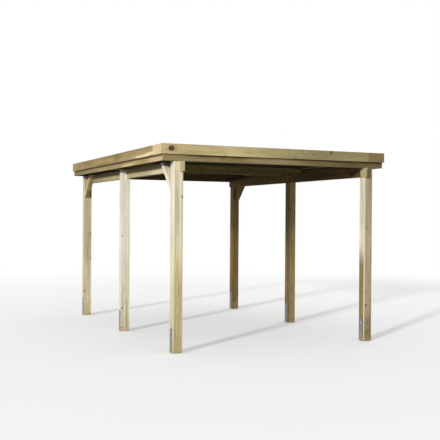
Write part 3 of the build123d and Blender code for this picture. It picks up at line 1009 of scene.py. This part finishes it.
def fasten(name, places, sizes, metal, number):
    """Sets a fastener on each (place, facing) pair and leaves the set as one plain mesh."""
    mesh = bpy.data.meshes.new(name)
    mesh.from_pydata([place for place, _ in places], [], [])
    facings = mesh.attributes.new("facing", "FLOAT_VECTOR", "POINT")
    for index, (_, facing) in enumerate(places):
        facings.data[index].vector = Vector(facing).normalized()
    piece = bpy.data.objects.new(name, mesh)
    bpy.context.collection.objects.link(piece)
    modifier = piece.modifiers.new("fasteners", "NODES")
    modifier.node_group = fastener
    values = dict(sizes, Seed=number, Metal=metal)
    for socket in fastener.interface.items_tree:
        if socket.in_out == "INPUT" and socket.name in values:
            modifier[socket.identifier] = values[socket.name]
    graph = bpy.context.evaluated_depsgraph_get()
    made = piece.evaluated_get(graph)
    solid = bpy.data.meshes.new_from_object(made, preserve_all_data_layers=True, depsgraph=graph)
    piece.modifiers.clear()
    piece.data = solid
    solid.name = name
    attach(piece, "root")
    print(name, "fasteners:", len(places), "faces:", len(solid.polygons))


def face_of(box, axis, out):
    """Where a box ends along an axis: its high end where out is 1, its low end where it is -1."""
    low, high = box
    return high[axis] if out > 0 else low[axis]


def middle_of(box, axis):
    """Half way between the two ends of a box."""
    low, high = box
    return (low[axis] + high[axis]) / 2


# %% [markdown]
# ## Shoe bolts
# Each shoe grips its post with two bolts, which go right through the straps and the timber. The
# heads sit on the outer strap and the nuts on the inner one, each on a washer that hides the
# edge of the hole. The straps' faces come from the shoe's own box.

# %% Bolts through the shoes
BOLT_HEIGHTS = (0.095, 0.24)
HEAD_SEED, NUT_SEED = 3, 8
HEX_HEAD = {
    "Washer radius": 0.0115, "Washer height": 0.0022, "Head radius": 0.0095, "Head top radius": 0.0093,
    "Head height": 0.006, "Head sides": 6, "End radius": 0.0082, "End top radius": 0.0074,
    "End height": 0.0006, "End sides": 24,
}
HEX_NUT = dict(HEX_HEAD, **{
    "Head height": 0.0078, "End radius": 0.005, "End top radius": 0.0044, "End height": 0.006,
    "End sides": 16,
})

for row in ROWS:
    for side, out in SIDES.items():
        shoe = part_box(f"post_shoe_{row}_{side}")
        y = middle_of(shoe, Y)
        heads = [((face_of(shoe, X, out), y, z), (out, 0, 0)) for z in BOLT_HEIGHTS]
        nuts = [((face_of(shoe, X, -out), y, z), (-out, 0, 0)) for z in BOLT_HEIGHTS]
        fasten(f"shoe_bolt_heads_{row}_{side}", heads, HEX_HEAD, BOLT_ZINC, HEAD_SEED)
        fasten(f"shoe_bolt_nuts_{row}_{side}", nuts, HEX_NUT, BOLT_ZINC, NUT_SEED)

# %% [markdown]
# ## Screws in the frame
# Countersunk wood screws hold the rest. Their heads lie almost flush, so each is only a thin
# disc with a star socket. Two go through every post's tongue into the purlin, offset so that
# they don't follow one fibre. Each knee brace has two through its lap on the purlin and two
# through its foot into the post.

# %% Screws in the posts
WOOD_SCREW = {
    "Washer radius": 0.0062, "Washer height": 0.0003, "Head radius": 0.0062, "Head top radius": 0.0052,
    "Head height": 0.0006, "Head sides": 24, "End radius": 0.0026, "End top radius": 0.0026,
    "End height": 0.0001, "End sides": 6, "End shade": 1.0,
}
SEAT_HEIGHT = 2.125
ABOVE_SEAT = 0.06
TONGUE_SCREW_OFFSETS = (0.022, 0.025)
TONGUE_SEED = 21

tongue_screws = []
for row in ROWS:
    for side, out in SIDES.items():
        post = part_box(f"post_{row}_{side}")
        for step in (-1, 1):
            y = middle_of(post, Y) + TONGUE_SCREW_OFFSETS[0] * step
            z = SEAT_HEIGHT + ABOVE_SEAT + TONGUE_SCREW_OFFSETS[1] * step
            tongue_screws.append(((face_of(post, X, out), y, z), (out, 0, 0)))
fasten("tongue_screws", tongue_screws, WOOD_SCREW, SCREW_ZINC, TONGUE_SEED)

# %% Screws in the braces
BRACED_CORNERS = (("front", "left"), ("rear", "left"), ("rear", "right"))
BRACE_SIDE = 0.07
LAP_SCREW_RISES = (0.225, 0.275)
FOOT_SCREW_INSET = 0.05
FOOT_SCREW_OFFSET = 0.018
BRACE_SEED = 22

brace_screws = []
for row, side in BRACED_CORNERS:
    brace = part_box(f"knee_brace_{row}_{side}")
    out = SIDES[side]
    toward = 1 if row == "front" else -1
    foot_y = face_of(brace, Y, -toward)
    foot_z = brace[0].z
    cut = BRACE_SIDE * math.sqrt(2)
    for rise in LAP_SCREW_RISES:
        place = (face_of(brace, X, out), foot_y + toward * rise, foot_z + cut / 2 + rise)
        brace_screws.append((place, (out, 0, 0)))
    for step in (-1, 1):
        x = middle_of(brace, X) + FOOT_SCREW_OFFSET * step
        place = (x, foot_y + toward * FOOT_SCREW_INSET, foot_z + FOOT_SCREW_INSET)
        brace_screws.append((place, (0, toward, -1)))
fasten("brace_screws", brace_screws, WOOD_SCREW, SCREW_ZINC, BRACE_SEED)

# %% [markdown]
# ## Screws in the fascia
# A row of screws runs along each upper board through the lap, and a second row holds each lower
# board to the rafters behind it. The corner screws go through the end boards into the end grain
# of the side boards. A small function spreads a row evenly between two ends.

# %% Screws in the end boards
BOARD_SCREW = dict(WOOD_SCREW, **{
    "Washer radius": 0.0042, "Head radius": 0.0042, "Head top radius": 0.0035, "End radius": 0.0018,
})
LAP_SCREW_HEIGHT = 2.343
LOW_SCREW_HEIGHT = 2.266
CORNER_HEIGHTS = (2.35, 2.41)
CORNER_INSET = 0.01
END_LAP_ROW = (-1.38, 1.38, 6)
END_LOW_ROW = (-1.4, 1.4, 6)
END_BOARD_SEED = 31


def spread(first, last, count):
    """Evenly spread places, both ends included."""
    return [first + (last - first) * step / (count - 1) for step in range(count)]


for place, out in (("front", -1), ("rear", 1)):
    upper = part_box(f"fascia_upper_{place}")
    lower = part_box(f"fascia_lower_{place}")
    y = face_of(upper, Y, out)
    low_y = face_of(lower, Y, out)
    corner = face_of(upper, X, 1) - CORNER_INSET
    rows = [((x, y, LAP_SCREW_HEIGHT), (0, out, 0)) for x in spread(*END_LAP_ROW)]
    rows += [((x, low_y, LOW_SCREW_HEIGHT), (0, out, 0)) for x in spread(*END_LOW_ROW)]
    rows += [((side * corner, y, z), (0, out, 0)) for side in (-1, 1) for z in CORNER_HEIGHTS]
    fasten(f"fascia_screws_{place}", rows, BOARD_SCREW, SCREW_ZINC, END_BOARD_SEED)

# %% Screws in the side boards
SIDE_LAP_ROW = (-1.9, 1.9, 8)
RAFTER_SCREW_OFFSETS = (0.012, 0.006)
SIDE_BOARD_SEED = 32

for side, out in SIDES.items():
    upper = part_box(f"fascia_upper_{side}")
    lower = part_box(f"fascia_lower_{side}")
    x = face_of(upper, X, out)
    rows = [((x, y, LAP_SCREW_HEIGHT), (out, 0, 0)) for y in spread(*SIDE_LAP_ROW)]
    for number in range(1, 4):
        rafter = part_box(f"rafter_{number}")
        for step in (-1, 1):
            y = middle_of(rafter, Y) + step * RAFTER_SCREW_OFFSETS[0]
            z = LOW_SCREW_HEIGHT + step * RAFTER_SCREW_OFFSETS[1]
            rows.append(((face_of(lower, X, out), y, z), (out, 0, 0)))
    fasten(f"fascia_screws_{side}", rows, BOARD_SCREW, SCREW_ZINC, SIDE_BOARD_SEED)

# %% [markdown]
# ## Roof screws
# The sheets are screwed to the rafters through the crests of the ribs, where no water stands.
# Each screw has a broad sealing washer. The height of a crest is not worked out here but
# measured: a ray is cast down on the sheets over each rafter, and the screw stands where it hits.

# %% Screws on the rib crests
ROOF_SCREW = {
    "Washer radius": 0.0085, "Washer height": 0.002, "Head radius": 0.0048, "Head top radius": 0.0046,
    "Head height": 0.0045, "Head sides": 6, "End radius": 0.004, "End top radius": 0.0034,
    "End height": 0.0004, "End sides": 16,
}
RIB_PITCH = 0.076
RIB_PLACES = [rib * RIB_PITCH for rib in range(-19, 20)]
EDGE_MARGINS = (0.01, 0.03)
EVERY_THIRD = slice(1, None, 3)
ABOVE_ROOF = 3.0
DOWN = (0, 0, -1)
ROOF_SEED = 40

for number in SHEETS:
    sheet = nodes[f"roof_sheet_{number}"]
    tester = BVHTree.FromObject(sheet, bpy.context.evaluated_depsgraph_get())
    low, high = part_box(f"roof_sheet_{number}")
    first_x = low.x + EDGE_MARGINS[0]
    last_x = high.x - EDGE_MARGINS[1]
    crests = [x for x in RIB_PLACES if first_x < x < last_x]
    rows = []
    for rafter in range(1, 4):
        y = middle_of(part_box(f"rafter_{rafter}"), Y)
        for x in crests[EVERY_THIRD]:
            hit, facing, _, _ = tester.ray_cast((x, y, ABOVE_ROOF), DOWN)
            rows.append((tuple(hit), tuple(facing if facing.z > 0 else -facing)))
    fasten(f"roof_screws_{number}", rows, ROOF_SCREW, BOLT_ZINC, ROOF_SEED + number)

# %% [markdown]
# ## Floor
# A pale floor keeps the carport's shadow. It could throw white light up under the roof, but a
# yard is darker than a studio floor, so light that leaves it for the timber is cut to less than
# a fifth. For the camera the floor is lifted a little, and further away it fades to the white of
# the world, so that no horizon shows.

# %% Floor
FLOOR_REACH = 60.0
FLOOR_PAINT = 0.86
FLOOR_BOUNCE = 0.16
FLOOR_LIFT = 0.26
FLOOR_ROUGHNESS = 0.9
FLOOR_FADE = (5.0, 14.0)
WHITE = (1, 1, 1, 1)

corners = [(-1, -1, 0), (1, -1, 0), (1, 1, 0), (-1, 1, 0)]
floor_mesh = bpy.data.meshes.new("floor")
floor_mesh.from_pydata([Vector(corner) * FLOOR_REACH for corner in corners], [], [(0, 1, 2, 3)])
floor = bpy.data.objects.new("floor", floor_mesh)
bpy.context.collection.objects.link(floor)
floor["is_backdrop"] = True

paint, tree, shader, coords = new_finish("floor_paint")
rays = add(tree, "ShaderNodeLightPath").outputs
painted = (FLOOR_PAINT, FLOOR_PAINT, FLOOR_PAINT, 1)
bounced = (FLOOR_BOUNCE, FLOOR_BOUNCE, FLOOR_BOUNCE, 1)
shown = calc(tree, "MAXIMUM", rays["Is Camera Ray"], rays["Is Glossy Ray"])
fill(tree, shader, {
    "Base Color": blend_colour(tree, rays["Is Diffuse Ray"], painted, bounced),
    "Roughness": FLOOR_ROUGHNESS,
    "Emission Color": WHITE,
    "Emission Strength": calc(tree, "MULTIPLY", shown, FLOOR_LIFT),
})
far = calc(tree, "MULTIPLY", shown, ramp(tree, length(tree, coords["Object"]), *FLOOR_FADE))
white = add(tree, "ShaderNodeEmission", {"Color": WHITE, "Strength": 1.0}).outputs[0]
faded = add(tree, "ShaderNodeMixShader", {0: far, 1: shader.outputs[0], 2: white}).outputs[0]
fill(tree, tree.nodes["Material Output"], {"Surface": faded})
floor_mesh.materials.append(paint)
print("floor nodes:", len(tree.nodes))

# %% [markdown]
# ## Sky and sun
# One sun lamp stands low at the front left and is five degrees wide, so that its shadows have
# soft edges, and the world fills the shade. The camera, and rays that a surface mirrors or lets
# through, see the world as white, while the timber is lit by a weaker grey, so that pale faces
# keep their colour.

# %% Sky and sun
SKY_STRENGTH = 0.5
SUN_STRENGTH = 3.0
SUN_WIDTH = math.radians(5)
SUN_WAY = (-1.0, -0.75, 0.3)

world = bpy.data.worlds.new("plain_sky")
bpy.context.scene.world = world
world.use_nodes = True
sky = world.node_tree
sky.nodes.clear()
rays = add(sky, "ShaderNodeLightPath").outputs
mirrored = calc(sky, "MAXIMUM", rays["Is Glossy Ray"], rays["Is Transmission Ray"])
seen = calc(sky, "MAXIMUM", rays["Is Camera Ray"], mirrored)
strength = calc(sky, "MULTIPLY_ADD", seen, 1.0 - SKY_STRENGTH, SKY_STRENGTH)
background = add(sky, "ShaderNodeBackground", {"Color": WHITE, "Strength": strength})
add(sky, "ShaderNodeOutputWorld", {"Surface": background.outputs[0]})

lamp = bpy.data.lights.new("soft_sun", "SUN")
lamp.energy = SUN_STRENGTH
lamp.angle = SUN_WIDTH
sun = bpy.data.objects.new("soft_sun", lamp)
bpy.context.collection.objects.link(sun)
sun.rotation_euler = Vector(SUN_WAY).to_track_quat("Z", "Y").to_euler()
print("sun strength:", lamp.energy, "sky strength:", SKY_STRENGTH)

# %% [markdown]
# ## Camera
# The camera stands at eye height, in front of the carport and to its left, and has a long lens.
# Blender's camera starts out looking straight down. Its turns are written last to first: it is
# tilted a little about its line of sight, raised to the horizon and then turned to the carport.

# %% Camera
CAMERA_PLACE = (-4.753, -10.920, 1.579)
CAMERA_YAW = 24.135
CAMERA_PITCH = -0.12
CAMERA_ROLL = 0.42
LENS = 66.7
FILM_WIDTH = 36.0
FARTHEST = 200.0

view = bpy.data.cameras.new("camera")
view.lens = LENS
view.sensor_width = FILM_WIDTH
view.clip_end = FARTHEST
camera = bpy.data.objects.new("camera", view)
bpy.context.collection.objects.link(camera)
camera.matrix_world = (
    Matrix.Translation(CAMERA_PLACE)
    @ Matrix.Rotation(math.radians(-CAMERA_YAW), 4, "Z")
    @ Matrix.Rotation(math.radians(90 + CAMERA_PITCH), 4, "X")
    @ Matrix.Rotation(math.radians(CAMERA_ROLL), 4, "Z")
)
bpy.context.scene.camera = camera
bpy.context.scene.view_settings.view_transform = "Standard"
print("camera lens:", LENS, "place:", CAMERA_PLACE)

# %% [markdown]
# ## The box
# Bolts and screws stand a little proud of the timber. The box of the dressed carport, without the
# floor, is measured here.

# %% Measure the box
low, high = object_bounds()
